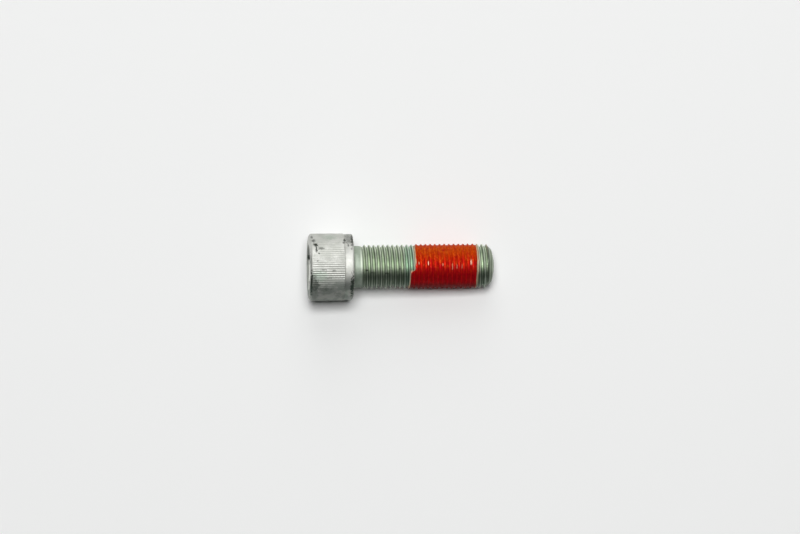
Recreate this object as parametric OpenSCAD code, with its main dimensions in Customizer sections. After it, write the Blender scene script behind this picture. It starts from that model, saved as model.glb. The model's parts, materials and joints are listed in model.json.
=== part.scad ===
// Hex socket cap screw with a fine right-hand thread, a ridged head and a band of red
// thread-locking film. It lies on its side, on the ridges of the head and on the last full
// crest of the thread, with its tip towards +X. Lengths are in millimetres.

/* [Head] */
// Diameter over the ridges of the head
ridge_d = 21.33; // [21:0.01:22]
// Height of the ridges over the smooth band beside the bearing face
ridge_rise = 0.215; // [0.1:0.005:0.3]
// Height of the head
head_h = 13.6; // [13:0.1:16]
// Length of the smooth band along the axis
band_len = 2.7; // [1.5:0.1:4]
// Number of ridges round the head
ridge_count = 90; // [72:2:100]
// Depth of the V groove between two ridges
groove_depth = 0.28; // [0.2:0.01:0.4]
// Radius of the rounding at the socket end of the head
head_round = 1; // [0.5:0.1:1.5]
// Width of the chamfer round the bearing face, across the axis
bearing_inset = 0.45; // [0.2:0.05:1]
// Length of the chamfer round the bearing face, along the axis
bearing_chamfer = 0.5; // [0.2:0.1:1]

/* [Socket] */
// Width across the flats of the hex socket
key_w = 12; // [10:0.5:12.5]
// Depth of the hex flats below the end of the head
socket_depth = 7.4; // [6:0.1:9]
// Depth of the shallow cone at the socket's bottom
socket_cone = 1.5; // [0.8:0.1:2]
// Reach of the chamfered mouth of the socket beyond the corners of the hex
mouth_rim = 0.37; // [0.2:0.01:0.8]
// Angle between the wall of the mouth chamfer and the end of the head
mouth_angle = 25; // [15:5:45]
// Turn of the socket's lowest flat away from straight down
socket_turn = -10; // [-30:1:30]

/* [Shank] */
// Length under the head, to the end of the tip
shank_len = 45; // [35:1:60]
// How far the crests of the thread stand over the plain neck under the head
neck_step = 0.4; // [0.3:0.05:0.5]
// Length of the plain neck
neck_len = 2.6; // [2.2:0.1:5]
// Radius of the fillet between the neck and the bearing face
neck_fillet = 0.7; // [0.4:0.1:1]
// Width of the 45 degree chamfer round the tip
tip_chamfer = 1.9; // [1:0.1:3]
// Height of the crown between the chamfer and the flat in the middle of the tip
tip_crown = 0.6; // [0.1:0.1:1]
// Width of the crown
tip_crown_w = 2.9; // [1:0.1:3.5]

/* [Thread] */
// Major diameter of the thread
thread_d = 14; // [13.7:0.1:14.5]
// Pitch of the thread
pitch = 1.5; // [1:0.25:2]
// Turns over which the thread rises out of the neck
runout_turns = 1.2; // [1:0.1:1.5]
// Facets in one turn of the thread
turn_facets = 30; // [24:2:36]

/* [Locking film] */
// Length of the film along the thread
film_len = 20; // [8:0.5:22]
// Bare thread between the film and the end of the tip
film_tip_gap = 5.6; // [3:0.1:8]
// Thickness of the film on the crests
film_t = 0.12; // [0.05:0.01:0.15]
// Depth of the film in the roots of the thread
film_fill = 0.4; // [0.2:0.05:0.6]
// Skew of the film's edge on the head's side
film_skew = 3; // [0:0.5:5]

/* [Hidden] */
$fn = 96;

ridge_r = ridge_d / 2;
groove_r = ridge_r - groove_depth;
band_r = ridge_r - ridge_rise;
bearing_r = band_r - bearing_inset;
thread_r = thread_d / 2;
neck_r = thread_r - neck_step;
crown_r = thread_r - tip_chamfer;
tip_r = crown_r - tip_crown_w;
tip_len = tip_chamfer + tip_crown;

// How far a cutting solid reaches past the face that it cuts
cut = 1;

// The ridges run out on the band along a 45 degree ramp
ridge_step = 360 / ridge_count;
ridge_foot = band_len + ridge_rise;
round_cones = 3;

hex_corner_r = key_w / 2 / cos(30);
mouth_r = hex_corner_r + mouth_rim;
mouth_depth = mouth_r * tan(mouth_angle);

// Metric thread: its depth and the width of its crest are shares of the pitch
root_r = thread_r - 0.6134 * pitch;
crest_w = pitch / 8;
// Crests lie under the screw at first_crest and at each pitch from there. The thread grows
// out of a core inside the neck, one turn before first_crest.
first_crest = neck_len + pitch / 2;
core_r = neck_r - 0.25;
// The neck ends in a cone that goes down past the roots
neck_cone = neck_r - root_r + 0.1;

film_start = shank_len - film_tip_gap - film_len;

// At rest the screw touches the floor with its last full crest, and with two ridges beside
// the band or with the band itself, whichever tilts it more
full_crests = floor((shank_len - tip_len - crest_w / 2 - first_crest) / pitch);
last_crest = first_crest + full_crests * pitch + crest_w / 2;
function tilt_on(r, back) = atan((r - thread_r) / (back + last_crest));
tilt = max(tilt_on(ridge_r * cos(ridge_step / 2), ridge_foot), tilt_on(band_r, bearing_chamfer));
lift = thread_r * cos(tilt) + last_crest * sin(tilt);

// Reach of the tilted screw along X from the middle of its bearing face, to each side
head_reach = head_h * cos(tilt) + (ridge_r - head_round) * sin(tilt);
tip_reach = shank_len * cos(tilt) + tip_r * sin(tilt);

// Lays the screw, built along +Z from its bearing face, on the floor at its own tilt, with
// the origin in the middle of the floor that it covers
module laid() {
    translate([(head_reach - tip_reach) / 2, 0, lift])
        rotate([0, 90 + tilt, 0])
            children();
}

// A solid right-hand thread along +Z. Its profile has a flat crest of radius outer and a V
// root of radius inner, three points a pitch. It starts with the middle of a crest at
// z_first on +X, and over its first turns it grows out of a core to its full size.
module helical_rod(outer, inner, flat, z_first, turns, core = 0, growing_turns = 0) {
    shifts = [-flat / 2, flat / 2, pitch / 2];
    radii = [outer, outer, inner];
    rows = 3 * turns;

    function grown(r, turn) =
        turn < growing_turns ? core + (r - core) * turn / growing_turns : r;
    function vertex(row, facet) =
        let (
            turn = floor(row / 3) + facet / turn_facets,
            angle = 360 * facet / turn_facets,
            r = grown(radii[row % 3], turn)
        )
        [r * cos(angle), r * sin(angle), z_first + pitch * turn + shifts[row % 3]];
    // Number of a vertex. After a full turn a row goes on as the row a pitch further up.
    function at(row, facet) =
        facet < turn_facets ? row * turn_facets + facet : (row + 3) * turn_facets;

    last = rows - 4;
    low_centre = rows * turn_facets;
    high_centre = low_centre + 1;
    vertices = [
        for (row = [0 : rows - 1]) for (facet = [0 : turn_facets - 1]) vertex(row, facet),
        [0, 0, z_first],
        [0, 0, z_first + pitch * turns]
    ];
    flanks = [
        for (row = [0 : last - 1]) for (facet = [0 : turn_facets - 1])
            each [
                [at(row, facet), at(row + 1, facet), at(row, facet + 1)],
                [at(row + 1, facet), at(row + 1, facet + 1), at(row, facet + 1)]
            ]
    ];
    low_end = [
        for (facet = [0 : turn_facets - 1]) [low_centre, at(0, facet), at(0, facet + 1)],
        for (row = [0 : 2]) [low_centre, at(row + 1, 0), at(row, 0)]
    ];
    high_end = [
        for (facet = [0 : turn_facets - 1]) [high_centre, at(last, facet + 1), at(last, facet)],
        for (row = [last : last + 2]) [high_centre, at(row, 0), at(row + 1, 0)]
    ];
    polyhedron(points = vertices, faces = concat(flanks, low_end, high_end));
}

// The head's outline, revolved: bearing face and its chamfer, band, ramp up to the ridges,
// and the rounding at the socket end as a few cones
module head_envelope() {
    rotate_extrude()
        polygon([
            [0, 0],
            [bearing_r, 0],
            [band_r, -bearing_chamfer],
            [band_r, -band_len],
            [ridge_r, -ridge_foot],
            for (a = [0 : 90 / round_cones : 90])
                [ridge_r - head_round * (1 - cos(a)), -head_h + head_round * (1 - sin(a))],
            [0, -head_h]
        ]);
}

// Straight sharp ridges, with two of them level underneath, and the disc of the band
module ridged_bar() {
    translate([0, 0, -head_h - cut])
        linear_extrude(height = head_h + cut - band_len)
            polygon([
                for (i = [0 : ridge_count - 1])
                    each [
                        ridge_r * [cos((i + 0.5) * ridge_step), sin((i + 0.5) * ridge_step)],
                        groove_r * [cos((i + 1) * ridge_step), sin((i + 1) * ridge_step)]
                    ]
            ]);
    translate([0, 0, -ridge_foot])
        cylinder(h = ridge_foot + cut, r = band_r);
}

// Hex socket with a shallow cone at its bottom and a chamfered mouth
module socket() {
    translate([0, 0, -head_h]) {
        translate([0, 0, -cut])
            rotate([0, 0, socket_turn + 30])
                linear_extrude(height = socket_depth + cut)
                    circle(r = hex_corner_r, $fn = 6);
        translate([0, 0, socket_depth])
            cylinder(h = socket_cone, r1 = key_w / 2, r2 = 0);
        translate([0, 0, -cut])
            cylinder(h = mouth_depth + cut, r1 = mouth_r + cut / tan(mouth_angle), r2 = 0);
    }
}

module head() {
    difference() {
        intersection() {
            head_envelope();
            ridged_bar();
        }
        socket();
    }
}

// Neck with its fillet under the head, sunk into the head, and the cone at its far end
module neck() {
    foot_r = neck_r + neck_fillet;
    rotate_extrude()
        difference() {
            polygon([
                [0, -cut],
                [foot_r, -cut],
                [foot_r, neck_fillet],
                [neck_r, neck_fillet],
                [neck_r, neck_len],
                [neck_r - neck_cone, neck_len + neck_cone],
                [0, neck_len + neck_cone]
            ]);
            translate([foot_r, neck_fillet])
                circle(r = neck_fillet);
        }
}

// Everything beyond the flat end of the tip, its crown and its chamfer
module beyond_tip() {
    far = shank_len + 3 * pitch;
    rotate_extrude()
        polygon([
            [0, shank_len],
            [tip_r, shank_len],
            [crown_r, shank_len - tip_crown],
            [thread_r + cut, shank_len - tip_len - cut],
            [thread_r + cut, far],
            [0, far]
        ]);
}

module shank() {
    turns = ceil((shank_len - first_crest) / pitch) + 3;
    difference() {
        union() {
            neck();
            helical_rod(thread_r, root_r, crest_w, first_crest - pitch, turns, core_r, runout_turns);
        }
        beyond_tip();
    }
}

module screw() {
    color([0.56, 0.60, 0.54])
        laid() {
            head();
            shank();
        }
}

// The stretch of the shank that the film covers. Its edge on the head's side is skewed.
module film_stretch() {
    side = thread_d + 2 * cut;
    intersection() {
        translate([0, 0, film_start])
            rotate([film_skew, 0, 0])
                translate([-side / 2, -side / 2, 0])
                    cube([side, side, film_len + cut]);
        translate([-side / 2, -side / 2, film_start - cut])
            cube([side, side, film_len + cut]);
    }
}

// Film on the thread all round, thin on the crests and thicker in the roots
module thread_lock_film() {
    z_first = first_crest + pitch * (floor((film_start - cut - first_crest) / pitch) - 1);
    turns = ceil((film_len + cut) / pitch) + 4;
    color([0.80, 0.13, 0.03])
        laid()
            intersection() {
                difference() {
                    helical_rod(thread_r + film_t, root_r + film_fill, crest_w + film_t, z_first, turns);
                    helical_rod(thread_r, root_r, crest_w, z_first - pitch, turns + 2);
                }
                film_stretch();
            }
}

screw();
thread_lock_film();
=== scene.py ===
"""Hex socket cap screw with a fine thread and a band of red locking film, lying on a pale floor."""
import json
import logging
import math
import random
from dataclasses import dataclass
from enum import Enum
from typing import Callable, Iterable, Sequence

import bmesh
import bpy
from mathutils import Matrix, Vector, noise


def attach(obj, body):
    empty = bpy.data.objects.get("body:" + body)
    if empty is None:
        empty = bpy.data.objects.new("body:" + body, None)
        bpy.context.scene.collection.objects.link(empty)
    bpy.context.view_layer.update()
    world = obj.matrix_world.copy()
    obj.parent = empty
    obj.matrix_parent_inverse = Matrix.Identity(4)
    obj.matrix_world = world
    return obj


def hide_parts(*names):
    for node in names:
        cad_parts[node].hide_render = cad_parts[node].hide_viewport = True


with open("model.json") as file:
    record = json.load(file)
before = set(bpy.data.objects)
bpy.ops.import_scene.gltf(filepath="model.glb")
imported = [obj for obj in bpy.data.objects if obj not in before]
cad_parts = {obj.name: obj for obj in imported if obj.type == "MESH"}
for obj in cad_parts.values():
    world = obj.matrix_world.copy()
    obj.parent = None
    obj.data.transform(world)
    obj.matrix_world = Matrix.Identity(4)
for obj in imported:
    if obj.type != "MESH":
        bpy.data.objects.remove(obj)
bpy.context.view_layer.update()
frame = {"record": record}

LOG = logging.getLogger("screw")
MM = 0.001
TURN = 2 * math.pi


class Slot(Enum):
    """Material slots of the record."""

    STEEL = "coated_steel"
    FILM = "red_film"


class Mark(Enum):
    """Numbers that a mesh carries for its material, one value a vertex."""

    CREST = "crest"
    COVER = "cover"


def clamp(value: float, low: float = 0.0, high: float = 1.0) -> float:
    """Keeps a value between two limits."""
    return max(low, min(high, value))


def ease(low: float, high: float, value: float) -> float:
    """Rises smoothly from 0 at low to 1 at high."""
    share = clamp((value - low) / (high - low))
    return share * share * (3 - 2 * share)


def soft_min(first: float, second: float, blend: float) -> float:
    """The smaller of two lengths, with their corner rounded over the length blend."""
    near = max(blend - abs(first - second), 0.0) / blend
    return min(first, second) - near * near * blend / 4


def soft_max(first: float, second: float, blend: float) -> float:
    """The larger of two lengths, with their corner rounded over the length blend."""
    return -soft_min(-first, -second, blend)


def wander(place: Vector, feature: float, layer: int = 0) -> float:
    """Smooth noise between about -1 and 1.

    Args:
        place: point in millimetres.
        feature: size of one lump in millimetres.
        layer: number that gives each use its own pattern.

    Returns:
        The noise at that point.
    """
    return noise.noise(place / feature + Vector((17.3, 5.1, 9.7)) * layer)


@dataclass(frozen=True)
class Placement:
    """Where the screw lies.

    The pieces are built in millimetres along +Z, from the middle of the bearing face to the
    tip, with +X down to the floor. This places them in the frame.
    """

    origin: Vector
    axis: Vector

    @classmethod
    def from_record(cls, record: dict) -> "Placement":
        """Reads the bearing face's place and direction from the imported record."""
        mount = next(m for m in record["mounts"] if m["name"] == "bearing_face")
        return cls(Vector(mount["pos_m"]), Vector(mount["axis"]).normalized())

    @property
    def turn(self) -> float:
        """Turn about Y that brings +Z onto the screw's axis."""
        return math.atan2(self.axis.x, self.axis.z)

    def matrix(self) -> Matrix:
        """Millimetres along the screw to metres in the frame."""
        return Matrix.Translation(self.origin) @ Matrix.Rotation(self.turn, 4, "Y") @ Matrix.Scale(MM, 4)

    def finish(self, bm: bmesh.types.BMesh, name: str, crease_deg: float) -> bpy.types.Object:
        """Lays a closed mesh in its place and makes it an object.

        Args:
            bm: the mesh in millimetres, freed afterwards.
            name: the object's name.
            crease_deg: edges that bend more than this stay sharp.

        Returns:
            The object, at the origin, with its place in its mesh.
        """
        bmesh.ops.transform(bm, matrix=self.matrix(), verts=bm.verts)
        bmesh.ops.recalc_face_normals(bm, faces=bm.faces)
        mesh = bpy.data.meshes.new(name)
        bm.to_mesh(mesh)
        bm.free()
        mesh.polygons.foreach_set("use_smooth", [True] * len(mesh.polygons))
        mesh.set_sharp_from_angle(angle=math.radians(crease_deg))
        piece = bpy.data.objects.new(name, mesh)
        bpy.context.scene.collection.objects.link(piece)
        return piece


def bearing_of(place: Vector) -> float:
    """Angle of a point round the screw's axis, from +X."""
    return math.atan2(place.y, place.x)


def boundary_edges(bm: bmesh.types.BMesh, height: float, slack: float = 1e-3) -> list:
    """Open edges of a mesh whose two ends lie at one height.

    Args:
        bm: the mesh.
        height: place along the axis.
        slack: how far an end may be off it.

    Returns:
        The edges.
    """
    return [
        edge for edge in bm.edges
        if edge.is_boundary and all(abs(vert.co.z - height) < slack for vert in edge.verts)
    ]


@dataclass(frozen=True)
class Thread:
    """Metric thread: where its crests run and how its flanks go down to the root."""

    major_d: float = 14.0
    pitch: float = 1.5
    first_crest: float = 3.5
    crest_share: float = 1 / 8
    depth_share: float = 0.57
    runout_turns: float = 1.2
    core_r: float = 6.35
    flank_slope: float = 1 / math.tan(math.radians(30))
    steps: int = 112
    shares: tuple = (-0.5, -0.42, -0.34, -0.25, -0.14, -0.07, 0.0, 0.07, 0.14, 0.25, 0.34, 0.42, 0.5)

    @property
    def crest_r(self) -> float:
        """Radius of the crests."""
        return self.major_d / 2

    @property
    def root_r(self) -> float:
        """Radius of the roots."""
        return self.crest_r - self.depth_share * self.pitch

    def share(self, height: float, angle: float) -> float:
        """How far a point lies from the nearest crest's middle, in pitches."""
        lead = (height - self.first_crest) / self.pitch - angle / TURN
        return lead - round(lead)

    def drop(self, share: float) -> float:
        """How far the thread lies under its crest at that share of a pitch."""
        flank = (abs(share) - self.crest_share / 2) * self.pitch * self.flank_slope
        rounded = soft_max(flank, 0.0, 0.12)
        return soft_min(rounded, self.depth_share * self.pitch, 0.45)

    def radius(self, height: float, angle: float) -> float:
        """Radius of the thread, which grows out of the core over its first turns."""
        full = self.crest_r - self.drop(self.share(height, angle))
        turn = (height - self.first_crest) / self.pitch + 1
        return self.core_r + (full - self.core_r) * ease(0, self.runout_turns, turn)

    def sheet(self, low: float, high: float) -> bmesh.types.BMesh:
        """Spins one pitch of profile into a helical sheet and cuts it level at both ends.

        Args:
            low: lower end along the axis.
            high: upper end along the axis.

        Returns:
            The open sheet, with edges that follow the crests. Its radius is nominal.
        """
        bm = bmesh.new()
        before = math.ceil((self.first_crest - low) / self.pitch) + 1
        start = self.first_crest - before * self.pitch
        verts = [bm.verts.new((self.crest_r, 0, start + share * self.pitch)) for share in self.shares]
        edges = [bm.edges.new(pair) for pair in zip(verts, verts[1:])]
        bmesh.ops.spin(
            bm, geom=verts + edges, cent=(0, 0, 0), axis=(0, 0, 1),
            dvec=(0, 0, self.pitch / self.steps), angle=TURN, steps=self.steps,
            use_merge=False, use_duplicate=False)
        turn = [*bm.verts, *bm.edges, *bm.faces]
        for number in range(1, math.ceil((high - start) / self.pitch) + 2):
            copied = bmesh.ops.duplicate(bm, geom=turn)["geom"]
            moved = [item for item in copied if isinstance(item, bmesh.types.BMVert)]
            bmesh.ops.translate(bm, verts=moved, vec=(0, 0, number * self.pitch))
        bmesh.ops.remove_doubles(bm, verts=bm.verts, dist=0.01)
        for height, side in ((low, -1), (high, 1)):
            bmesh.ops.bisect_plane(
                bm, geom=[*bm.verts, *bm.edges, *bm.faces], dist=1e-5,
                plane_co=(0, 0, height), plane_no=(0, 0, side), clear_outer=True)
        return bm


@dataclass(frozen=True)
class Nick:
    """A small dent: where it is, how wide and how deep."""

    place: Vector
    width: float
    depth: float

    def press(self, place: Vector) -> float:
        """How far the surface is pushed in at that point."""
        away = (place - self.place).length
        return self.depth * (1 - ease(0.25 * self.width, self.width, away)) if away < self.width else 0.0


@dataclass
class Head:
    """Ridged cylindrical head with a smooth band, a chamfer and the hex socket."""

    height: float = 13.9
    ridge_d: float = 21.33
    ridge_rise: float = 0.215
    groove_depth: float = 0.12
    ridges: int = 90
    steps_a_ridge: int = 8
    band_len: float = 2.7
    bearing_inset: float = 0.45
    bearing_chamfer: float = 0.5
    rounding: float = 1.0
    key_w: float = 12.0
    socket_depth: float = 7.4
    socket_cone: float = 1.5
    mouth_rim: float = 0.37
    mouth_deg: float = 25.0
    socket_turn_deg: float = -10.0
    ridge_wobble: float = 0.035
    ridge_stations: int = 22
    nicks: Sequence[Nick] = ()

    @property
    def ridge_r(self) -> float:
        """Radius over the ridges."""
        return self.ridge_d / 2

    @property
    def band_r(self) -> float:
        """Radius of the smooth band."""
        return self.ridge_r - self.ridge_rise

    @property
    def mouth_r(self) -> float:
        """Radius of the socket's chamfered mouth."""
        return self.key_w / 2 / math.cos(math.radians(30)) + self.mouth_rim

    def crest_at(self, angle: float) -> float:
        """Height of the ridge at an angle, from 0 in the groove to 1 on the crest."""
        share = angle / TURN * self.ridges
        return abs(math.sin(math.pi * share))

    def ridge_at(self, angle: float, height: float) -> float:
        """Radius of the ridged bar, with each ridge a little higher or lower than the next."""
        number = math.floor(angle / TURN * self.ridges) % self.ridges
        lump = wander(Vector((number * 3.7, 0, height)), 2.5, 1) * self.ridge_wobble
        return self.ridge_r - self.groove_depth * (1 - self.crest_at(angle)) + min(lump, 0.0)

    def hex_at(self, angle: float) -> float:
        """Radius of the hex socket's wall, with slightly rounded corners."""
        sixth = TURN / 6
        turned = angle - math.radians(self.socket_turn_deg)
        off = (turned + sixth / 2) % sixth - sixth / 2
        near = self.key_w / 2 / math.cos(off)
        far = self.key_w / 2 / math.cos(sixth - abs(off))
        return soft_min(near, far, 0.12)

    def stations(self) -> Iterable[Callable[[float], tuple]]:
        """The rings of the head from the bearing face round to the socket's bottom.

        Yields:
            Functions of the angle that give radius, place along the axis and crest mark.
        """
        def ring(radius: float, height: float, mark: float = 0.6) -> Callable[[float], tuple]:
            return lambda angle: (radius, height, mark)

        def ridged(radius: float, height: float) -> Callable[[float], tuple]:
            def at(angle: float) -> tuple:
                bar = self.ridge_at(angle, height)
                return (min(radius, bar), height, self.crest_at(angle) if bar < radius + 0.05 else 0.8)
            return at

        def hexed(height: float, inset: float = 0.0) -> Callable[[float], tuple]:
            return lambda angle: (self.hex_at(angle) - inset, height, 0.4)

        def mouth(angle: float) -> tuple:
            wall = self.hex_at(angle)
            depth = (self.mouth_r - wall) * math.tan(math.radians(self.mouth_deg))
            return (wall, depth - self.height, 0.5)

        bearing_r = self.band_r - self.bearing_inset
        yield ring(bearing_r - 1.2, 0)
        for step in range(5):
            lean = math.radians(90 * step / 4)
            yield ring(
                bearing_r + self.bearing_inset * math.sin(lean),
                -self.bearing_chamfer * (1 - math.cos(lean)), 0.8)
        for height in (0.9, 1.4, 1.9, self.band_len - 0.05):
            yield ring(self.band_r, -height)
        yield ring(self.band_r - 0.07, -self.band_len - 0.06, 0.2)
        yield ridged(self.band_r - 0.05, -self.band_len - 0.16)
        foot = -self.band_len - self.ridge_rise - 0.12
        yield ridged(self.ridge_r, foot)
        top = self.rounding - self.height
        for step in range(1, self.ridge_stations):
            yield ridged(self.ridge_r, foot + (top - foot) * step / self.ridge_stations)
        for step in range(9):
            lean = math.radians(90 * step / 8)
            yield ridged(
                self.ridge_r - self.rounding * (1 - math.cos(lean)),
                self.rounding * (1 - math.sin(lean)) - self.height)
        for radius in (9.2, 8.5, 7.8, self.mouth_r + 0.12):
            yield ring(radius, -self.height, 0.7)
        yield ring(self.mouth_r, 0.03 - self.height, 0.9)
        yield mouth
        floor = self.socket_depth - self.height
        for share in (0.12, 0.35, 0.65, 0.9):
            yield hexed((1 - share) * (0.3 - self.height) + share * (floor - 0.25))
        yield hexed(floor - 0.08, 0.06)
        yield hexed(floor, 0.25)
        yield ring(self.key_w / 2 - 0.4, floor, 0.2)
        for share in (0.3, 0.65, 0.97):
            yield ring((self.key_w / 2 - 0.4) * (1 - share), floor + self.socket_cone * share, 0.2)

    def build(self, bm: bmesh.types.BMesh, crest: bmesh.types.BMLayerItem) -> list:
        """Turns the head ring by ring out of a circle.

        Args:
            bm: the mesh that takes the head.
            crest: the layer for the crest mark.

        Returns:
            The edges of the first ring, where the shank joins.
        """
        count = self.ridges * self.steps_a_ridge
        verts = bmesh.ops.create_circle(bm, cap_ends=False, radius=1, segments=count)["verts"]
        edges = list({edge for vert in verts for edge in vert.link_edges})
        first = list(edges)
        for number, station in enumerate(self.stations()):
            if number:
                made = bmesh.ops.extrude_edge_only(bm, edges=edges)["geom"]
                verts = [item for item in made if isinstance(item, bmesh.types.BMVert)]
                edges = [item for item in made if isinstance(item, bmesh.types.BMEdge)]
                edges = [edge for edge in edges if edge.is_boundary]
            for vert in verts:
                angle = bearing_of(vert.co)
                radius, height, vert[crest] = station(angle)
                vert.co = self.dented(Vector((radius * math.cos(angle), radius * math.sin(angle), height)))
        bmesh.ops.pointmerge(
            bm, verts=verts, merge_co=(0, 0, self.socket_depth + self.socket_cone - self.height))
        return first

    def dented(self, place: Vector) -> Vector:
        """Pushes a point of the outside in where a nick is."""
        press = sum(nick.press(place) for nick in self.nicks)
        if not press:
            return place
        inward = Vector((place.x, place.y, 0)).normalized() * -press
        return place + inward


@dataclass
class Shank:
    """Neck with its fillet, the thread with its run-out, and the chamfered tip."""

    thread: Thread
    length: float = 45.0
    neck_step: float = 0.4
    neck_len: float = 2.6
    fillet: float = 0.7
    tip_chamfer: float = 1.9
    tip_crown: float = 0.6
    tip_crown_w: float = 2.9
    lump: float = 0.012
    nicks: Sequence[Nick] = ()

    @property
    def neck_r(self) -> float:
        """Radius of the plain neck."""
        return self.thread.crest_r - self.neck_step

    def neck_at(self, height: float) -> float:
        """Radius of the neck, its fillet under the head and the cone at its far end."""
        if height < self.fillet:
            rise = self.fillet - max(height, 0.0)
            return self.neck_r + self.fillet - math.sqrt(self.fillet**2 - rise**2)
        return self.neck_r - max(height - self.neck_len, 0.0)

    def radius(self, height: float, angle: float) -> float:
        """Radius of the shank's surface."""
        grown = soft_max(self.thread.radius(height, angle), self.neck_at(height), 0.12)
        crown_r = self.thread.crest_r - self.tip_chamfer
        left = self.length - height
        crown = crown_r - self.tip_crown_w + left * self.tip_crown_w / self.tip_crown
        return soft_min(grown, soft_min(crown_r - self.tip_crown + left, crown, 1.2), 0.25)

    def build(self, bm: bmesh.types.BMesh, crest: bmesh.types.BMLayerItem) -> list:
        """Adds the shank to a mesh.

        Args:
            bm: the mesh that takes the shank.
            crest: the layer for the crest mark.

        Returns:
            The edges of its open ring at the bearing face.
        """
        skin = self.thread.sheet(0.0, self.length)
        for vert in skin.verts:
            angle, height = bearing_of(vert.co), vert.co.z
            radius = self.radius(height, angle)
            place = Vector((radius * math.cos(angle), radius * math.sin(angle), height))
            away = ease(0, 0.8, height)
            radius += min(wander(place, 0.9, 2) * self.lump, 0.0) * away
            radius -= sum(nick.press(place) for nick in self.nicks)
            vert.co = (radius * math.cos(angle), radius * math.sin(angle), height)
        tip = boundary_edges(skin, self.length)
        made = bmesh.ops.extrude_edge_only(skin, edges=tip)["geom"]
        rim = [item for item in made if isinstance(item, bmesh.types.BMVert)]
        bmesh.ops.scale(skin, verts=rim, vec=(0.9, 0.9, 1))
        rim_edges = [item for item in made if isinstance(item, bmesh.types.BMEdge) and item.is_boundary]
        made = bmesh.ops.extrude_edge_only(skin, edges=rim_edges)["geom"]
        rim = [item for item in made if isinstance(item, bmesh.types.BMVert)]
        bmesh.ops.pointmerge(skin, verts=rim, merge_co=(0, 0, self.length))
        holder = bpy.data.meshes.new("shank_skin")
        skin.to_mesh(holder)
        skin.free()
        before = set(bm.verts)
        bm.from_mesh(holder)
        bpy.data.meshes.remove(holder)
        for vert in bm.verts:
            if vert not in before:
                vert[crest] = self.crest_mark(vert.co)
        return boundary_edges(bm, 0.0)

    def crest_mark(self, place: Vector) -> float:
        """From 0 in the thread's root to 1 on its crest, and between them on the neck."""
        radius = math.hypot(place.x, place.y)
        if place.z < self.neck_len - 0.3:
            return 0.6
        return clamp((radius - self.thread.root_r) / (self.thread.crest_r - self.thread.root_r))


@dataclass
class Screw:
    """The whole screw as one closed piece."""

    placement: Placement
    thread: Thread
    seed: int = 14
    name: str = "screw_body"

    def nicks(self) -> tuple:
        """Draws the small dents of the head's rim and ridges and of the thread's crests."""
        draw = random.Random(self.seed)
        rim = []
        for _ in range(16):
            angle, height = draw.uniform(0, TURN), draw.uniform(0.1, 0.9) - Head.height
            place = Vector((10.2 * math.cos(angle), 10.2 * math.sin(angle), height))
            rim.append(Nick(place, draw.uniform(0.35, 0.9), draw.uniform(0.05, 0.16)))
        for _ in range(14):
            angle, height = draw.uniform(0, TURN), draw.uniform(-12.0, -0.4)
            place = Vector((10.6 * math.cos(angle), 10.6 * math.sin(angle), height))
            rim.append(Nick(place, draw.uniform(0.3, 0.8), draw.uniform(0.04, 0.14)))
        crests = []
        for _ in range(26):
            angle, height = draw.uniform(0, TURN), draw.uniform(3.5, 43)
            place = Vector((7 * math.cos(angle), 7 * math.sin(angle), height))
            crests.append(Nick(place, draw.uniform(0.25, 0.6), draw.uniform(0.03, 0.09)))
        return rim, crests

    def build(self) -> bpy.types.Object:
        """Builds head and shank, joins them round the bearing face and lays them in place."""
        rim, crests = self.nicks()
        bm = bmesh.new()
        crest = bm.verts.layers.float.new(Mark.CREST.value)
        first = Head(nicks=rim).build(bm, crest)
        neck = Shank(self.thread, nicks=crests).build(bm, crest)
        neck = [edge for edge in neck if edge not in set(first)]
        bmesh.ops.bridge_loops(bm, edges=first + neck)
        return self.placement.finish(bm, self.name, 32)

    def dress(self, piece: bpy.types.Object) -> None:
        """Gives the screw its coating and its place in the frame."""
        piece.data.materials.append(ZincFlakeCoating().material(self.placement))
        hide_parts("screw")
        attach(piece, "root")


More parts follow.
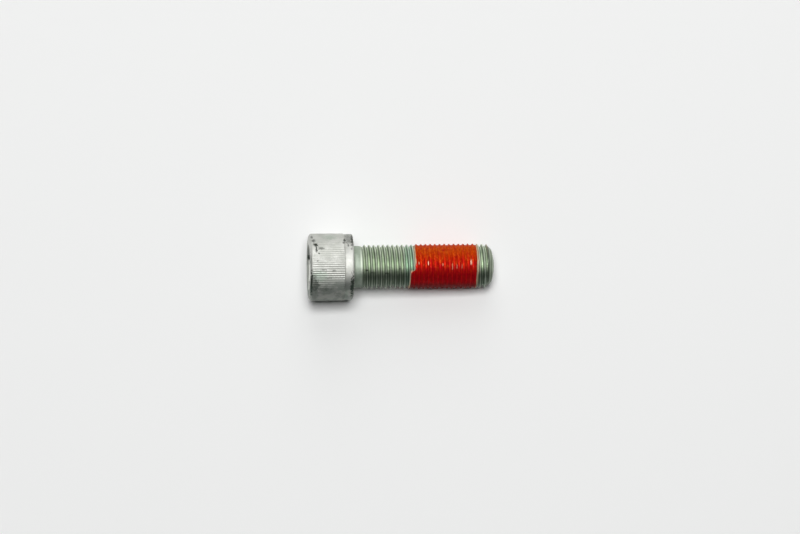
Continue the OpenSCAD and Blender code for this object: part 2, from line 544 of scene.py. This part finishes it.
@dataclass
class LockingFilm:
    """Dried locking film on the thread, thin on the crests and thicker in the roots."""

    placement: Placement
    thread: Thread
    head_end: float = 19.3
    drip: float = 1.5
    tip_end: float = 39.2
    lean_side: float = 0.58
    lean_up: float = 0.6
    ragged: float = 0.3
    border: float = 0.6
    thickness: float = 0.085
    fill: float = 0.54
    edge: float = 0.35
    sunk: float = 0.05
    margin: float = 3.0
    name: str = "locking_film"

    def cover(self, place: Vector) -> tuple:
        """How much film lies at a point.

        Args:
            place: point on the thread in millimetres.

        Returns:
            The share of the film's full thickness, and the share of its full colour.
        """
        away = place.xy.length or 1.0
        lean = self.lean_side * place.y / away - self.lean_up * place.x / away
        rough = wander(place, 2.4, 3) * self.ragged + wander(place, 0.7, 4) * self.ragged * 0.5
        drip = self.drip * ease(0.8, 2.2, -place.y)
        inside = place.z - (self.head_end - 0.15 + 0.25 * lean + 0.8 * rough - drip)
        beyond = self.tip_end + 0.3 * lean + 0.6 * rough - place.z
        there = ease(0, self.edge, inside) * ease(-self.border, -self.border + self.edge, beyond)
        colour = ease(-0.15, self.edge, beyond) * ease(0.9 * self.edge, 2.2 * self.edge, inside)
        return there, colour

    def radius(self, place: Vector, height: float, angle: float) -> tuple:
        """Radius of the film's outside and of its colour share at a point."""
        steel = self.thread.radius(height, angle)
        there, colour = self.cover(place)
        lumps = 1 + 0.45 * wander(place, 0.55, 5) + 0.3 * wander(place, 1.6, 6)
        film = soft_max(steel + self.thickness * lumps, self.thread.root_r + self.fill * (0.8 + 0.2 * lumps), 0.3)
        outside = steel - self.sunk + (film - steel + self.sunk) * there * (0.7 + 0.3 * colour)
        return outside, colour

    def build(self) -> bpy.types.Object:
        """Builds the film as a thin closed skin whose edges dive under the steel."""
        low, high = self.head_end - self.margin, self.tip_end + self.border + self.margin
        bm = self.thread.sheet(low, high)
        cover = bm.verts.layers.float.new(Mark.COVER.value)
        skin = list(bm.verts)
        for vert in skin:
            angle, height = bearing_of(vert.co), vert.co.z
            radius, vert[cover] = self.radius(vert.co.copy(), height, angle)
            vert.co = (radius * math.cos(angle), radius * math.sin(angle), height)
        inner = bmesh.ops.duplicate(bm, geom=[*bm.verts, *bm.edges, *bm.faces])["geom"]
        for vert in (item for item in inner if isinstance(item, bmesh.types.BMVert)):
            angle = bearing_of(vert.co)
            radius = self.thread.radius(vert.co.z, angle) - 2 * self.sunk
            vert.co = (radius * math.cos(angle), radius * math.sin(angle), vert.co.z)
        for height in (low, high):
            bmesh.ops.bridge_loops(bm, edges=boundary_edges(bm, height))
        return self.placement.finish(bm, self.name, 60)

    def dress(self, piece: bpy.types.Object) -> None:
        """Gives the film its gloss and its place in the frame."""
        piece.data.materials.append(RedFilm().material(self.placement))
        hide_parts("thread_lock_film")
        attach(piece, "root")


class Graph:
    """Short calls for the nodes of one material or of the world."""

    def __init__(self, tree: bpy.types.NodeTree) -> None:
        """Empties the tree.

        Args:
            tree: the node tree that takes the nodes.
        """
        self.tree = tree
        tree.nodes.clear()

    def node(self, kind: str, inputs: dict | None = None, **settings: object) -> bpy.types.Node:
        """Adds a node.

        Args:
            kind: the node's type after ShaderNode.
            inputs: values or sockets by input name or number.
            settings: properties of the node.

        Returns:
            The node.
        """
        made = self.tree.nodes.new("ShaderNode" + kind)
        for name, value in settings.items():
            setattr(made, name, value)
        for name, value in (inputs or {}).items():
            if isinstance(value, bpy.types.NodeSocket):
                self.tree.links.new(value, made.inputs[name])
            else:
                made.inputs[name].default_value = value
        return made

    def maths(self, operation: str, first: object, second: object = 0.0, clamped: bool = False) -> object:
        """Works out one sum of two numbers or sockets."""
        return self.node("Math", {0: first, 1: second}, operation=operation, use_clamp=clamped).outputs[0]

    def band(self, value: object, low: float, high: float, start: float = 0.0, end: float = 1.0) -> object:
        """Maps low to start and high to end, smoothly and clamped."""
        inputs = {"Value": value, "From Min": low, "From Max": high, "To Min": start, "To Max": end}
        return self.node("MapRange", inputs, interpolation_type="SMOOTHSTEP").outputs[0]

    def blend(self, share: object, first: object, second: object, kind: str = "MIX") -> object:
        """Mixes two colours or sockets by a share."""
        inputs = {0: share, 6: first, 7: second}
        return self.node("Mix", inputs, data_type="RGBA", blend_type=kind).outputs[2]

    def grain(self, vector: object, size_mm: float, detail: float = 2.0, rough: float = 0.5) -> object:
        """Noise between 0 and 1 whose lumps have a real size."""
        inputs = {"Vector": vector, "Scale": 1 / (size_mm * MM), "Detail": detail, "Roughness": rough}
        return self.node("TexNoise", inputs).outputs[0]

    def mark(self, mark: Mark) -> object:
        """Reads a number that the mesh carries."""
        return self.node("Attribute", attribute_name=mark.value).outputs["Fac"]

    def along_screw(self, placement: Placement) -> object:
        """Object coordinates turned into the screw's own axes, in metres."""
        place = self.node("TexCoord").outputs["Object"]
        inputs = {"Vector": place, "Location": placement.origin, "Rotation": (0, placement.turn, 0)}
        return self.node("Mapping", inputs, vector_type="TEXTURE").outputs[0]

    def marks(self, along: object, side: object, rough: object, spots: Iterable) -> object:
        """Spreads marks over the upper side, with ragged edges.

        Args:
            along: place along the screw, in metres.
            side: place across it, in metres.
            rough: noise that frays the edges.
            spots: the marks.

        Returns:
            The strongest mark at each point.
        """
        place = self.node("CombineXYZ", {0: along, 1: side}).outputs[0]
        total = 0.0
        for spot in spots:
            off = self.node("VectorMath", {0: place, 1: (spot.along * MM, spot.side * MM, 0)}, operation="SUBTRACT")
            reach = (1 / (spot.reach_along * MM), 1 / (spot.reach_side * MM), 0)
            scaled = self.node("VectorMath", {0: off.outputs[0], 1: reach}, operation="MULTIPLY")
            length = self.node("VectorMath", {0: scaled.outputs[0]}, operation="LENGTH").outputs["Value"]
            length = self.maths("ADD", length, rough)
            total = self.maths("MAXIMUM", total, self.band(length, 1.3, 0.5, 0.0, spot.strength))
        return total

    def bump(self, height: object, depth_mm: float, strength: float, under: object = None) -> object:
        """Turns a height into a bent normal."""
        inputs = {"Height": height, "Distance": depth_mm * MM, "Strength": strength}
        if under is not None:
            inputs["Normal"] = under
        return self.node("Bump", inputs).outputs[0]


def tone(red: float, green: float, blue: float) -> tuple:
    """A colour with full cover."""
    return (red, green, blue, 1.0)


@dataclass(frozen=True)
class Spot:
    """A dark or pale mark on the upper side, a scuff, a smear, painted shade or a painted glint: its middle, its reach
    and its strength, in millimetres.
    """

    along: float
    side: float
    reach_along: float
    reach_side: float
    strength: float


# Dark scuffs and marks on the upper side, and painted shade along the head's shaded roundings.
SCUFFS_AND_SHADE = (
    Spot(-12.10, 7.10, 0.75, 0.50, 0.97),
    Spot(-11.90, 5.75, 0.34, 1.30, 0.92),
    Spot(-10.50, 5.95, 1.00, 0.40, 0.60),
    Spot(-11.15, 4.31, 0.30, 0.26, 0.80),
    Spot(-11.63, 1.96, 0.32, 0.26, 0.50),
    Spot(-12.75, 8.35, 0.60, 0.45, 0.70),
    Spot(-13.15, 9.46, 0.40, 0.50, 0.60),
    Spot(-2.87, 8.51, 0.42, 0.42, 0.85),
    Spot(-3.21, 7.65, 0.34, 0.40, 0.65),
    Spot(-1.74, 6.86, 0.30, 0.42, 0.65),
    Spot(-2.23, 8.57, 0.34, 0.34, 0.45),
    Spot(-0.79, 5.68, 0.26, 0.30, 0.45),
    Spot(-1.50, 8.90, 1.40, 1.80, 0.45),
    # Painted shade along the lower rounding of the head's end and along the bearing chamfer's lower and upper edges,
    # and a thin dark line across the end's rim.
    Spot(-13.60, -5.20, 0.50, 3.80, 0.97),
    Spot(-13.75, 1.00, 0.16, 3.60, 0.40),
    Spot(-0.50, -6.00, 0.70, 3.60, 0.97),
    Spot(-0.45, 8.40, 0.45, 2.20, 0.85),
    # Dark marks on the head and the thread.
    Spot(-11.80, -5.60, 1.10, 0.40, 0.70),
    Spot(-12.20, -4.70, 0.80, 0.30, 0.60),
    Spot(-12.40, -5.80, 1.20, 1.90, 0.66),
    Spot(-12.90, -4.60, 1.10, 2.60, 0.50),
    Spot(-9.50, -7.00, 2.60, 0.50, 0.45),
    Spot(-6.50, -1.20, 0.80, 0.22, 0.55),
    Spot(-9.60, -0.90, 1.00, 0.20, 0.50),
    Spot(-8.20, -3.50, 1.20, 0.20, 0.50),
    Spot(4.17, -1.13, 0.50, 0.36, 0.75),
    Spot(10.64, -2.17, 0.70, 0.30, 0.70),
    Spot(14.73, -0.97, 0.30, 0.90, 0.55),
    Spot(5.94, -1.92, 0.60, 0.25, 0.60),
)
# Painted shade on a corner of the hex socket and the wall beside it.
SOCKET_SHADOWS = (
    Spot(-12.90, 3.30, 2.20, 0.80, 0.97),
    Spot(-12.90, 5.20, 2.20, 2.40, 0.60),
)
SMEARS = (
    Spot(-11.20, -2.80, 2.90, 1.80, 0.64),
    Spot(-2.30, -8.76, 0.60, 1.70, 0.45),
    Spot(-7.40, 9.40, 2.40, 0.70, 0.45),
)


GLINTS = (
    Spot(19.15, 0.20, 0.16, 1.30, 0.75),
    Spot(20.75, 0.95, 0.13, 0.50, 0.55),
    Spot(23.75, 1.00, 0.18, 0.75, 0.85),
    Spot(28.40, 0.45, 0.15, 0.40, 0.60),
    Spot(31.40, 0.10, 0.14, 1.10, 0.65),
    Spot(32.85, -0.10, 0.12, 0.80, 0.45),
    Spot(34.45, -0.20, 0.12, 0.90, 0.45),
    Spot(37.40, 1.20, 0.24, 1.00, 1.00),
)


@dataclass(frozen=True)
class ZincFlakeCoating:
    """Silver-green zinc flake coating on steel, satin, with handling scuffs, with painted shade in the grooves, on the
    flanks, tip, socket corner and lower side, and painted highlights on a socket wall and a neck ring.
    """

    head_light: tuple = tone(0.70, 0.705, 0.67)
    head_dark: tuple = tone(0.575, 0.585, 0.545)
    shank_light: tuple = tone(0.43, 0.49, 0.41)
    shank_dark: tuple = tone(0.32, 0.38, 0.30)
    thread_light: tuple = tone(0.84, 0.945, 0.75)
    thread_dark: tuple = tone(0.65, 0.765, 0.58)
    stain: tuple = tone(0.58, 0.84, 0.68)
    # Dark tone of the painted shade in the head's grooves, on the thread's flanks and on the tip.
    painted_shade: tuple = tone(0.07, 0.085, 0.06)
    worn: tuple = tone(0.55, 0.56, 0.52)
    # Dark tone of the scuffs and of the painted shade at the head's roundings and in the socket.
    spot: tuple = tone(0.035, 0.04, 0.03)
    smear: tuple = tone(0.42, 0.50, 0.42)
    # Dark tone of the painted shade on the lower side of the shank and head and on the end face towards the floor.
    shade_dark: tuple = tone(0.045, 0.075, 0.055)
    # Pale tone of the painted highlight ring on the neck.
    painted_highlight: tuple = tone(0.80, 0.88, 0.74)
    # Pale tone of bare metal on the worn crests and of the painted highlight on the socket's wall.
    bare_and_highlight: tuple = tone(0.85, 0.86, 0.81)

    def material(self, placement: Placement) -> bpy.types.Material:
        """Builds the coating's material.

        Args:
            placement: where the screw lies.

        Returns:
            The material.
        """
        made = bpy.data.materials.new("zinc_flake_coating")
        made.use_nodes = True
        graph = Graph(made.node_tree)
        place = graph.along_screw(placement)
        parts = graph.node("SeparateXYZ", {0: place})
        down, side, along = parts.outputs[0], parts.outputs[1], parts.outputs[2]
        crest = graph.mark(Mark.CREST)
        cloud = graph.band(graph.grain(place, 3.2, 3), 0.35, 0.65)
        speck = graph.grain(place, 0.28, 3, 0.6)

        head = graph.blend(cloud, self.head_dark, self.head_light)
        shank = graph.blend(cloud, self.shank_dark, self.shank_light)
        on_thread = graph.band(along, 2.4 * MM, 3.4 * MM)
        shank = graph.blend(on_thread, shank, graph.blend(cloud, self.thread_dark, self.thread_light))
        colour = graph.blend(graph.band(along, -0.1 * MM, 0.1 * MM), head, shank)
        stained = graph.maths("MULTIPLY", graph.band(along, 15.5 * MM, 17.5 * MM), 0.6)
        stained = graph.maths("MULTIPLY", stained, graph.band(along, 40 * MM, 38 * MM))
        colour = graph.blend(stained, colour, self.stain)
        on_shank = graph.band(along, -0.1 * MM, 0.1 * MM)
        # Painted shade in the head's grooves, stronger towards the lower side and mottled by noise.
        deep = graph.maths("MULTIPLY", graph.band(crest, 0.5, 0.0), graph.band(side, 1.5 * MM, -2.0 * MM, 0.12, 0.5))
        deep = graph.maths("MULTIPLY", deep, graph.maths("SUBTRACT", 1.0, on_shank))
        deep = graph.maths("MULTIPLY", deep, graph.band(graph.grain(place, 1.1, 3), 0.2, 0.7, 0.45, 1.0))
        colour = graph.blend(deep, colour, self.painted_shade)
        wear = graph.maths("MULTIPLY", graph.band(crest, 0.78, 1.0), graph.band(speck, 0.38, 0.62))
        worn = graph.maths("SUBTRACT", 0.7, graph.maths("MULTIPLY", on_shank, 0.5))
        worn = graph.maths("ADD", worn, graph.maths("MULTIPLY", on_thread, 0.4))
        wear = graph.maths("MULTIPLY", wear, worn)
        colour = graph.blend(wear, colour, graph.blend(on_thread, self.worn, self.bare_and_highlight))
        out = graph.maths("SQRT", graph.maths("ADD", graph.maths("MULTIPLY", down, down), graph.maths("MULTIPLY", side, side)))
        round_head = graph.maths("MULTIPLY", graph.band(out, 9.4 * MM, 9.9 * MM), graph.maths("SUBTRACT", 1.0, on_shank))
        outside = graph.maths("ADD", round_head, on_shank)
        upper = graph.maths("MULTIPLY", graph.band(down, 1.0 * MM, -1.0 * MM), outside)
        frayed = graph.band(graph.grain(place, 0.5, 2), 0.2, 0.8, -0.5, 0.5)
        smears = graph.maths("MULTIPLY", graph.marks(along, side, frayed, SMEARS), upper)
        colour = graph.blend(smears, colour, self.smear)
        # Scuffs, and painted shade along the head's end rounding and the bearing chamfer.
        spots = graph.maths("MULTIPLY", graph.marks(along, side, frayed, SCUFFS_AND_SHADE), upper)
        colour = graph.blend(spots, colour, self.spot)
        # Painted shade on the thread's flanks, leaving roots and crests light.
        flank = graph.maths("MULTIPLY", graph.band(crest, 0.02, 0.25), graph.band(crest, 0.98, 0.72))
        flank = graph.maths("MULTIPLY", flank, graph.maths("MULTIPLY", on_thread, 0.68))
        colour = graph.blend(flank, colour, self.painted_shade)
        # Painted shade on the shank's lower side, a little stronger on the thread, with a frayed edge.
        lower_side_shade = graph.band(graph.maths("ADD", side, graph.maths("MULTIPLY", frayed, 0.8 * MM)), -0.2 * MM, -3.3 * MM)
        reach = graph.maths("ADD", graph.maths("MULTIPLY", on_shank, 0.50), graph.maths("MULTIPLY", on_thread, 0.16))
        lower_side_shade = graph.maths("MULTIPLY", lower_side_shade, reach)
        colour = graph.blend(lower_side_shade, colour, self.shade_dark)
        # Painted shade on the tip's chamfer, in rings 0.8 mm apart.
        rings = graph.maths("COSINE", graph.maths("MULTIPLY", along, TURN / (0.8 * MM)))
        rings = graph.maths("ADD", 0.62, graph.maths("MULTIPLY", rings, 0.16))
        tipped = graph.maths("MULTIPLY", graph.band(along, 42.2 * MM, 42.9 * MM), rings)
        colour = graph.blend(tipped, colour, self.painted_shade)
        # Painted shade on the head's lower side, mottled by noise.
        head_lower_shade = graph.maths("MULTIPLY", graph.band(side, -2.0 * MM, -6.0 * MM), graph.band(cloud, 0.0, 1.0, 0.36, 0.66))
        head_lower_shade = graph.maths("MULTIPLY", head_lower_shade, graph.maths("SUBTRACT", 1.0, on_shank))
        colour = graph.blend(head_lower_shade, colour, self.shade_dark)
        in_socket = graph.maths("MULTIPLY", graph.band(out, 7.6 * MM, 7.2 * MM), graph.band(down, 0.0, 1.0 * MM))
        # Painted shade in the hex socket.
        socket_shadow = graph.maths("MULTIPLY", graph.marks(along, side, 0.0, SOCKET_SHADOWS), in_socket)
        colour = graph.blend(socket_shadow, colour, self.spot)
        # Painted highlight on the lit wall of the hex socket.
        lit = graph.maths("MULTIPLY", in_socket, graph.band(side, 1.2 * MM, 0.2 * MM, 0.0, 0.9))
        colour = graph.blend(lit, colour, self.bare_and_highlight)
        shaded = graph.maths("MULTIPLY", graph.band(along, -13.1 * MM, -13.5 * MM), graph.band(down, -2.0 * MM, 8.0 * MM, 0.0, 0.45))
        colour = graph.blend(shaded, colour, self.shade_dark)
        # Painted highlight in a ring round the neck, brightest a little above its middle, where the light falls.
        from_ring = graph.maths("ABSOLUTE", graph.maths("SUBTRACT", along, 2.5 * MM))
        ring = graph.maths("MULTIPLY", graph.band(from_ring, 0.34 * MM, 0.08 * MM), graph.band(side, -2.8 * MM, 0.5 * MM, 0.05, 0.75))
        ring = graph.maths("MULTIPLY", ring, graph.band(side, 6.0 * MM, 3.5 * MM, 0.25, 1.0))
        colour = graph.blend(ring, colour, self.painted_highlight)
        metal = graph.maths("ADD", graph.maths("MULTIPLY", on_shank, -0.40), 0.90)
        metal = graph.maths("ADD", metal, graph.maths("MULTIPLY", on_thread, 0.45))
        rough = graph.maths("ADD", graph.maths("MULTIPLY", on_shank, 0.0), graph.band(speck, 0.3, 0.7, 0.60, 0.70))
        rough = graph.maths("ADD", rough, graph.maths("MULTIPLY", on_thread, -0.15))
        shader = graph.node("BsdfPrincipled", {
            "Base Color": colour,
            "Metallic": metal,
            "Roughness": rough,
        })
        lumps = graph.bump(graph.grain(place, 0.6, 3), 0.02, 0.5)
        fine = graph.bump(speck, 0.012, 0.5, lumps)
        graph.tree.links.new(fine, shader.inputs["Normal"])
        graph.node("OutputMaterial", {"Surface": shader.outputs[0]})
        return made


@dataclass(frozen=True)
class RedFilm:
    """Orange-red locking film, glossy and grainy, clear and yellowish along its border, with painted shade towards its
    lower side and in its roots, and painted highlights and glints on its upper side.
    """

    # Orange of the painted light on the film's upper side.
    top: tuple = tone(0.56, 0.080, 0.0010)
    light: tuple = tone(0.54, 0.024, 0.0010)
    # Deep red of the painted shade towards the lower side and in the roots, and of dark streaks in the grain.
    deep: tuple = tone(0.39, 0.002, 0.008)
    # Near black of the painted shade along the film's lower edge and in its lower roots.
    rim: tuple = tone(0.09, 0.003, 0.003)
    ochre: tuple = tone(0.72, 0.13, 0.012)
    border: tuple = tone(0.46, 0.39, 0.26)
    glint: tuple = tone(1.0, 0.66, 0.46)
    glow: tuple = tone(0.75, 0.12, 0.02)

    def material(self, placement: Placement) -> bpy.types.Material:
        """Builds the film's material.

        Args:
            placement: where the screw lies.

        Returns:
            The material.
        """
        made = bpy.data.materials.new("red_locking_film")
        made.use_nodes = True
        graph = Graph(made.node_tree)
        place = graph.along_screw(placement)
        cover = graph.mark(Mark.COVER)
        parts = graph.node("SeparateXYZ", {0: place})
        down, side, along = parts.outputs
        pool = graph.grain(place, 0.8, 3, 0.6)
        # Painted shade deepens the red towards the lower side, varied by random pooling, and painted light turns the
        # lit upper side orange.
        film_shade = graph.maths("ADD", graph.band(side, 5 * MM, -5.5 * MM, 0.0, 0.95), graph.band(pool, 0.3, 0.7, -0.2, 0.4))
        on_top = graph.band(down, 2.0 * MM, -3.0 * MM)
        light = graph.blend(graph.maths("MULTIPLY", graph.band(side, 1.5 * MM, 6.0 * MM), on_top), self.light, self.top)
        colour = graph.blend(graph.maths("MAXIMUM", film_shade, 0.0), light, self.deep)
        # Painted shade along the film's lower edge.
        colour = graph.blend(graph.maths("MULTIPLY", graph.band(side, -4.8 * MM, -6.4 * MM, 0.0, 0.9), on_top), colour, self.rim)
        grit = graph.grain(place, 0.32, 2, 0.6)
        streak = graph.node("Mapping", {"Vector": place, "Scale": (0.45, 0.45, 1)}).outputs[0]
        streak = graph.grain(streak, 0.55, 3, 0.65)
        # Ochre streaks in the film's grain, kept to the lit upper side as painted highlights.
        bright = graph.maths("MULTIPLY", graph.band(streak, 0.52, 0.66, 0.0, 0.65), graph.band(side, -1.2 * MM, 1.0 * MM, 0.1, 1.0))
        colour = graph.blend(bright, colour, self.ochre)
        colour = graph.blend(graph.band(streak, 0.48, 0.32, 0.0, 0.8), colour, self.deep)
        out = graph.maths("SQRT", graph.maths("ADD", graph.maths("MULTIPLY", down, down), graph.maths("MULTIPLY", side, side)))
        # Painted shade in the thread's roots under the film, stronger towards the lower side.
        groove = graph.blend(graph.band(side, 0.5 * MM, -3.5 * MM), self.deep, self.rim)
        in_groove = graph.maths("MULTIPLY", graph.band(out, 6.98 * MM, 6.68 * MM), graph.band(side, 4.0 * MM, -3.0 * MM, 0.08, 0.38))
        colour = graph.blend(in_groove, colour, groove)
        colour = graph.blend(graph.band(cover, 0.15, 0.7), self.border, colour)
        frayed = graph.band(pool, 0.2, 0.8, -0.4, 0.4)
        glints = graph.maths("MULTIPLY", graph.marks(along, side, frayed, GLINTS), on_top)
        colour = graph.blend(glints, colour, self.glint)
        shader = graph.node("BsdfPrincipled", {
            "Base Color": colour,
            "Metallic": graph.maths("SUBTRACT", 0.4, graph.maths("MULTIPLY", glints, 0.2)),
            "Roughness": graph.maths("SUBTRACT", 0.5, graph.maths("MULTIPLY", glints, 0.2)),
            "Specular IOR Level": 0.05,
            "Specular Tint": self.glow,
            "Coat Weight": graph.band(graph.grain(place, 0.45, 2), 0.62, 0.70, 0.0, 0.65),
            "Coat Roughness": 0.12,
            "Coat IOR": 1.35,
        })
        lumps = graph.bump(pool, 0.06, 0.7)
        fine = graph.bump(grit, 0.04, 0.8, lumps)
        graph.tree.links.new(fine, shader.inputs["Normal"])
        graph.tree.links.new(fine, shader.inputs["Coat Normal"])
        graph.node("OutputMaterial", {"Surface": shader.outputs[0]})
        return made


@dataclass(frozen=True)
class Studio:
    """Pale floor, soft light from above and from the picture's upper side, and the world."""

    floor_r: float = 6.0
    floor_tone: tuple = tone(0.86, 0.865, 0.86)
    key_lean_deg: float = 11.0
    key_size: tuple = (0.76, 0.64)
    key_level: float = 21.0
    core_lean_deg: float = 17.0
    core_size: float = 0.16
    core_level: float = 20.0
    side_lean_deg: float = 52.0
    side_size: tuple = (1.1, 1.6)
    side_level: float = 1.5
    away: float = 2.0
    room_dark: float = 0.02
    room_light: float = 0.16

    def lamp(self, name: str, lean_deg: float, away: float, size: tuple, level: float) -> None:
        """Adds a flat lamp that leans from straight above towards +Y and faces the screw.

        Args:
            name: the lamp's name.
            lean_deg: its angle from straight above.
            away: its distance.
            size: its width along X and its length across.
            level: its brightness, where 1 is as bright as a white surface in full light.
        """
        data = bpy.data.lights.new(name, "AREA")
        data.shape = "RECTANGLE"
        data.size, data.size_y = size
        data.energy = level * math.pi * size[0] * size[1]
        made = bpy.data.objects.new(name, data)
        lean = math.radians(lean_deg)
        made.location = (0, away * math.sin(lean), away * math.cos(lean))
        made.rotation_euler = (-lean, 0, 0)
        made.visible_camera = False
        bpy.context.scene.collection.objects.link(made)

    def floor(self) -> None:
        """Lays the pale floor."""
        bm = bmesh.new()
        bmesh.ops.create_circle(bm, cap_ends=True, radius=self.floor_r, segments=64)
        mesh = bpy.data.meshes.new("floor")
        bm.to_mesh(mesh)
        bm.free()
        made = bpy.data.objects.new("floor", mesh)
        bpy.context.scene.collection.objects.link(made)
        material = bpy.data.materials.new("pale_floor")
        material.use_nodes = True
        graph = Graph(material.node_tree)
        shader = graph.node("BsdfPrincipled", {"Base Color": self.floor_tone, "Roughness": 0.7})
        shader.inputs["Specular IOR Level"].default_value = 0.2
        graph.node("OutputMaterial", {"Surface": shader.outputs[0]})
        mesh.materials.append(material)

    def world(self) -> None:
        """Surrounds the scene with a room that is darker on the picture's lower side."""
        world = bpy.data.worlds.new("room")
        world.use_nodes = True
        bpy.context.scene.world = world
        graph = Graph(world.node_tree)
        way = graph.node("SeparateXYZ", {0: graph.node("TexCoord").outputs["Generated"]})
        bright = graph.band(way.outputs[1], -0.15, 0.8, self.room_dark, self.room_light)
        horizon = graph.band(graph.maths("ABSOLUTE", way.outputs[2]), 0.10, 0.04)
        grey = graph.node("CombineColor", {0: bright, 1: bright, 2: bright}).outputs[0]
        colour = graph.blend(horizon, grey, tone(0.85, 0.85, 0.85))
        back = graph.node("Background", {"Color": colour, "Strength": 1.0})
        graph.node("OutputWorld", {"Surface": back.outputs[0]})

    def build(self) -> None:
        """Lays the floor and lights the scene."""
        self.floor()
        self.world()
        self.lamp("key", self.key_lean_deg, self.away, self.key_size, self.key_level)
        self.lamp("core", self.core_lean_deg, 0.95 * self.away, (self.core_size, self.core_size), self.core_level)
        self.lamp("side", self.side_lean_deg, self.away, self.side_size, self.side_level)


@dataclass(frozen=True)
class Viewpoint:
    """Camera straight above the screw, far away behind a long lens."""

    frame_px: tuple = (800, 534)
    px_a_mm: float = 3.145
    screw_px: tuple = (400.5, 266.46)
    roll_deg: float = 0.45
    lens: float = 250.0
    sensor: float = 36.0

    def build(self, middle: float) -> None:
        """Makes the camera.

        Args:
            middle: height of the screw's middle over the floor, in metres.
        """
        data = bpy.data.cameras.new("camera")
        data.lens, data.sensor_width = self.lens, self.sensor
        camera = bpy.data.objects.new("camera", data)
        width = self.frame_px[0] / self.px_a_mm * MM
        away = width * self.lens / self.sensor
        data.clip_start, data.clip_end = 0.1, 20
        off_x = (self.screw_px[0] - self.frame_px[0] / 2) / self.px_a_mm * MM
        off_y = (self.frame_px[1] / 2 - self.screw_px[1]) / self.px_a_mm * MM
        camera.location = (-off_x, -off_y, middle + away)
        camera.rotation_euler = (0, 0, -math.radians(self.roll_deg))
        bpy.context.scene.collection.objects.link(camera)
        bpy.context.scene.camera = camera


def report(piece: bpy.types.Object) -> None:
    """Says how large a finished piece is."""
    triangles = sum(len(face.vertices) - 2 for face in piece.data.polygons)
    LOG.info("%s: %d vertices, %d triangles", piece.name, len(piece.data.vertices), triangles)


def main() -> None:
    """Builds the screw, its film, the studio and the camera."""
    logging.basicConfig(level=logging.INFO, format="%(name)s %(message)s")
    bpy.context.scene.view_settings.view_transform = "Standard"
    placement = Placement.from_record(frame["record"])
    thread = Thread()
    for part in (Screw(placement, thread), LockingFilm(placement, thread)):
        piece = part.build()
        part.dress(piece)
        report(piece)
    Studio().build()
    Viewpoint().build(placement.origin.z)


if __name__ == "__main__":
    main()
